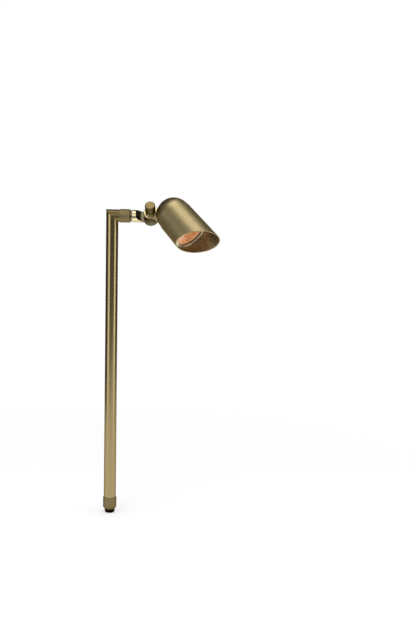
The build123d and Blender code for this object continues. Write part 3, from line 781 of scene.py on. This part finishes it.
def make_bead_tree():
    tree, ins, outs = new_group("mitre_bead", "GeometryNodeTree", [
        ("Radius", FLOAT, TUBE_RADIUS * MM), ("Bead", FLOAT, BEAD * MM), ("Fullness", FLOAT, 0.5),
        ("Material", MATERIAL, None),
    ], [("Geometry", GEOMETRY)])
    circle = add(tree, "GeometryNodeCurvePrimitiveCircle", {
        "Resolution": 128, "Radius": ins["Radius"],
    }).outputs[0]
    position = add(tree, "GeometryNodeInputPosition").outputs[0]
    spot = add(tree, "ShaderNodeSeparateXYZ", {0: position})
    drop = add(tree, "ShaderNodeCombineXYZ", {2: calc(tree, "MULTIPLY", spot.outputs[0], -1.0)})
    seam = add(tree, "GeometryNodeSetPosition", {"Geometry": circle, "Offset": drop.outputs[0]})
    share = calc(tree, "DIVIDE", spot.outputs[0], ins["Radius"])
    fuller = calc(tree, "MULTIPLY", share, ins["Fullness"])
    profile = add(tree, "GeometryNodeCurvePrimitiveCircle", {
        "Resolution": 12, "Radius": ins["Bead"],
    }).outputs[0]
    bead = add(tree, "GeometryNodeCurveToMesh", {
        "Curve": seam.outputs[0], "Profile Curve": profile,
        "Scale": calc(tree, "ADD", 1.0, fuller), "Fill Caps": True,
    }).outputs[0]
    real = add(tree, "GeometryNodeRealizeInstances", {"Geometry": bead}).outputs[0]
    done = add(tree, "GeometryNodeSetMaterial", {"Geometry": real, "Material": ins["Material"]})
    tree.links.new(done.outputs[0], outs["Geometry"])
    return tree


bead = grow("mitre_bead", make_bead_tree(), Matrix.Translation(corner), 60, Material=bead_brass)
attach(bead, "stem")

# %% [markdown]
# ## The knob
# The knob is turned from bar, with a flat face whose edge is broken so that it is kind to the
# fingers. It stands on its washer, and only its corners need more than the solid has.

# %% The knob
KNOB_FOOT, KNOB_TOP = 12.4, 28.7
knob = turn("knob_turned", [
    (4.1, KNOB_FOOT), (7.6, KNOB_FOOT), (8.1, KNOB_FOOT + 0.5), (8.1, KNOB_TOP - 0.9, 0.7),
    (7.2, KNOB_TOP, 0.5), (0, KNOB_TOP, 0), (0, KNOB_FOOT + 9, 0), (4.1, KNOB_FOOT + 9),
], KNUCKLE)
knob.data.materials.append(knob_brass)
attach(knob, "knob")
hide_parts("lock_knob")

# %% [markdown]
# ## The reflector's facets
# The bowl is pressed from glass, and its inside is a field of small flat facets that smooth the
# beam. They follow one rule, rings that widen and sectors all round, so a geometry tree bends a
# grid into the bowl, turns its faces towards the lens and leaves them flat.

# %% The facets
FACET_RIM, FACET_NECK = 23.4, 7.4
FACET_DEPTH = 23.8
FACET_START = 14.1              # the neck, from the dome's middle


def make_facet_tree():
    tree, ins, outs = new_group("facets", "GeometryNodeTree", [
        ("Sectors", INTEGER, 49), ("Rings", INTEGER, 13), ("Rim", FLOAT, FACET_RIM * MM),
        ("Neck", FLOAT, FACET_NECK * MM), ("Depth", FLOAT, FACET_DEPTH * MM),
        ("Material", MATERIAL, None),
    ], [("Geometry", GEOMETRY)])
    grid = add(tree, "GeometryNodeMeshGrid", {
        "Size X": 1.0, "Size Y": 1.0, "Vertices X": ins["Sectors"], "Vertices Y": ins["Rings"],
    }).outputs[0]
    position = add(tree, "GeometryNodeInputPosition").outputs[0]
    spot = add(tree, "ShaderNodeSeparateXYZ", {0: position})
    angle = calc(tree, "MULTIPLY", spot.outputs[0], 2 * math.pi)
    share = calc(tree, "ADD", spot.outputs[1], 0.5)
    widening = calc(tree, "POWER", share, 0.5)
    radius = calc(tree, "ADD", ins["Neck"], calc(
        tree, "MULTIPLY", widening, calc(tree, "SUBTRACT", ins["Rim"], ins["Neck"])))
    bowl = add(tree, "ShaderNodeCombineXYZ", {
        0: calc(tree, "MULTIPLY", radius, calc(tree, "COSINE", angle)),
        1: calc(tree, "MULTIPLY", radius, calc(tree, "SINE", angle)),
        2: calc(tree, "MULTIPLY", share, ins["Depth"]),
    }).outputs[0]
    bent = add(tree, "GeometryNodeSetPosition", {"Geometry": grid, "Position": bowl}).outputs[0]
    closed = add(tree, "GeometryNodeMergeByDistance", {
        "Geometry": bent, "Distance": 1e-6,
    }).outputs[0]
    inwards = add(tree, "GeometryNodeFlipFaces", {"Mesh": closed}).outputs[0]
    real = add(tree, "GeometryNodeRealizeInstances", {"Geometry": inwards}).outputs[0]
    done = add(tree, "GeometryNodeSetMaterial", {"Geometry": real, "Material": ins["Material"]})
    tree.links.new(done.outputs[0], outs["Geometry"])
    return tree


facet_place = HEAD @ Matrix.Translation((0, 0, FACET_START * MM))
facets = grow("reflector_facets", make_facet_tree(), facet_place, 1, Material=dichroic)
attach(facets, "head")

# %% [markdown]
# ## The filament
# A tungsten coil stands in the capsule. It is a helix too, with a much finer wire.

# %% The filament
def make_coil_tree():
    tree, ins, outs = new_group("filament", "GeometryNodeTree", [
        ("Turns", FLOAT, 9.0), ("Radius", FLOAT, 0.9 * MM), ("Length", FLOAT, 4.5 * MM),
        ("Wire", FLOAT, 0.14 * MM), ("Material", MATERIAL, None),
    ], [("Geometry", GEOMETRY)])
    helix = add(tree, "GeometryNodeCurveSpiral", {
        "Resolution": 20, "Rotations": ins["Turns"], "Start Radius": ins["Radius"],
        "End Radius": ins["Radius"], "Height": ins["Length"],
    }).outputs[0]
    wire = add(tree, "GeometryNodeCurvePrimitiveCircle", {
        "Resolution": 6, "Radius": ins["Wire"],
    }).outputs[0]
    coil = add(tree, "GeometryNodeCurveToMesh", {
        "Curve": helix, "Profile Curve": wire, "Fill Caps": True,
    }).outputs[0]
    real = add(tree, "GeometryNodeRealizeInstances", {"Geometry": coil}).outputs[0]
    done = add(tree, "GeometryNodeSetMaterial", {"Geometry": real, "Material": ins["Material"]})
    tree.links.new(done.outputs[0], outs["Geometry"])
    return tree


COIL_START = 20.0               # from the dome's middle
coil_place = HEAD @ Matrix.Translation((0, 0, COIL_START * MM))
coil = grow("filament", make_coil_tree(), coil_place, 60, Material=tungsten)
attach(coil, "head")

# %% [markdown]
# ## Dressing the solids
# The remaining solids already have their real shape, so they only take their material.

# %% Materials of the solids
for node_name, material in {
    "stem_tube": stem_brass, "arm_tube": arm_brass, "base_collar": collar_brass,
    "arm_collar": arm_collar_brass, "knuckle_stem": knuckle_brass, "rear_cap": cap_brass,
    "hood": hood_brass, "lens_ring": ring_brass, "lens": lens_glass, "lamp_burner": quartz,
    "lens_gasket": gasket, "hood_seal": rubber, "knuckle_seal": rubber, "lamp_base": ceramic,
    "lamp_socket": ceramic, "lamp_pins": pin_steel, "lamp_reflector": dichroic,
    "lock_washer": steel, "lock_stud": steel, "swivel_screw": steel, "socket_plate": steel,
    "socket_screws": steel,
}.items():
    nodes[node_name].material_slots[0].material = material
print("dressed", len(nodes), "nodes")
